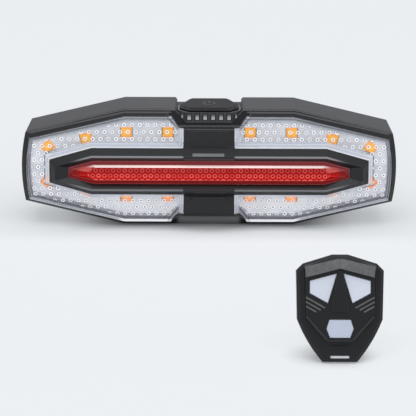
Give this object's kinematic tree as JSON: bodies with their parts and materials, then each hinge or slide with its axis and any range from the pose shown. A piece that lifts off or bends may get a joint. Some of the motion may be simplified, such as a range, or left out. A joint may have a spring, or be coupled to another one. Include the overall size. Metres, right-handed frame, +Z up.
{
  "type": "bicycle turn signal light",
  "caption": "Wide hexagonal bicycle tail light with amber turn signals behind clear lenses, a red bar lens, a top power button, a seat-post bracket and a wireless remote.",
  "frame": {"origin": "centre of the light's flat underside, midway between its front split and its back", "axes": "+X to the right seen from the front, +Y towards the back and the seat post, +Z up"},
  "size_m": [0.12, 0.1932, 0.039],
  "materials": {
    "housing": "fine moulded texture",
    "bezel": "fine moulded texture",
    "gasket": "matte silicone",
    "clear_lens": "clear, polished",
    "centre_frame": "satin black",
    "bridge": "satin black",
    "red_lens": "clear red, polished",
    "reflector": "silvered",
    "circuit_board": "solder mask",
    "amber_led": "resin",
    "red_led": "resin",
    "chip": "matte",
    "screw": "satin",
    "foam": "closed-cell foam",
    "battery": "foil pouch",
    "button_surround": "fine moulded texture",
    "power_button": "satin black",
    "switch_plunger": "matte",
    "socket": "satin",
    "usb_cover": "matte",
    "twist_hub": "fine moulded texture",
    "bracket": "fine moulded texture",
    "pad": "matte",
    "strap": "matte silicone",
    "remote_front": "satin black",
    "remote_rear": "fine moulded texture",
    "remote_key": "translucent, satin",
    "remote_board": "solder mask",
    "key_switch": "matte",
    "cell": "satin",
    "contact": "spring steel"
  },
  "bodies": {
    "light": {"rear_housing": "housing", "front_bezel": "bezel", "lens_gasket": "gasket", "left_lens": "clear_lens", "right_lens": "clear_lens", "centre_frame": "centre_frame", "red_lens": "red_lens", "upper_bridge": "bridge", "lower_bridge": "bridge", "reflector": "reflector", "led_board": "circuit_board", "amber_leds": "amber_led", "red_leds": "red_led", "board_chips": "chip", "board_screws": "screw", "battery_pad": "foam", "battery": "battery", "button_surround": "button_surround", "push_switch": "chip", "charge_board": "circuit_board", "usb_socket": "socket", "twist_hub": "twist_hub"},
    "power_button": {"power_button": "power_button", "switch_plunger": "switch_plunger"},
    "usb_cover": {"usb_cover": "usb_cover"},
    "seat_bracket": {"seat_post_bracket": "bracket", "saddle_pad": "pad", "post_strap": "strap"},
    "remote": {"remote_front_shell": "remote_front", "remote_rear_shell": "remote_rear", "remote_board": "remote_board", "remote_switches": "key_switch", "remote_cell": "cell", "remote_cell_contact": "contact", "remote_screws": "screw", "remote_bar_pad": "pad"},
    "remote_left_key": {"remote_left_key": "remote_key"},
    "remote_right_key": {"remote_right_key": "remote_key"},
    "remote_centre_key": {"remote_centre_key": "remote_key"}
  },
  "joints": [
    {"name": "power_press", "type": "slide", "parent": "light", "child": "power_button", "axis": [0, 0, -1], "range_m": [0, 0.0008], "stiffness_N_per_m": 1200, "springref_m": -0.0005},
    {"name": "usb_cover_hinge", "type": "hinge", "parent": "light", "child": "usb_cover", "pos_m": [0.05165, 0.01, 0.015], "axis": [0, 0, -1], "range_deg": [0, 110]},
    {"name": "bracket_turn", "type": "hinge", "parent": "light", "child": "seat_bracket", "pos_m": [0, 0.0128, 0.018], "axis": [0, 1, 0], "range_deg": [0, 90]},
    {"name": "remote_lift", "type": "slide", "parent": "light", "child": "remote", "axis": [0, 0, 1], "range_m": [0, 0.06]},
    {"name": "remote_left_press", "type": "slide", "parent": "remote", "child": "remote_left_key", "axis": [0, 0.9511, -0.309], "range_m": [0, 0.0006], "stiffness_N_per_m": 900, "springref_m": -0.0004},
    {"name": "remote_right_press", "type": "slide", "parent": "remote", "child": "remote_right_key", "axis": [0, 0.9511, -0.309], "range_m": [0, 0.0006], "stiffness_N_per_m": 900, "springref_m": -0.0004},
    {"name": "remote_centre_press", "type": "slide", "parent": "remote", "child": "remote_centre_key", "axis": [0, 0.9511, -0.309], "range_m": [0, 0.0006], "stiffness_N_per_m": 900, "springref_m": -0.0004}
  ]
}
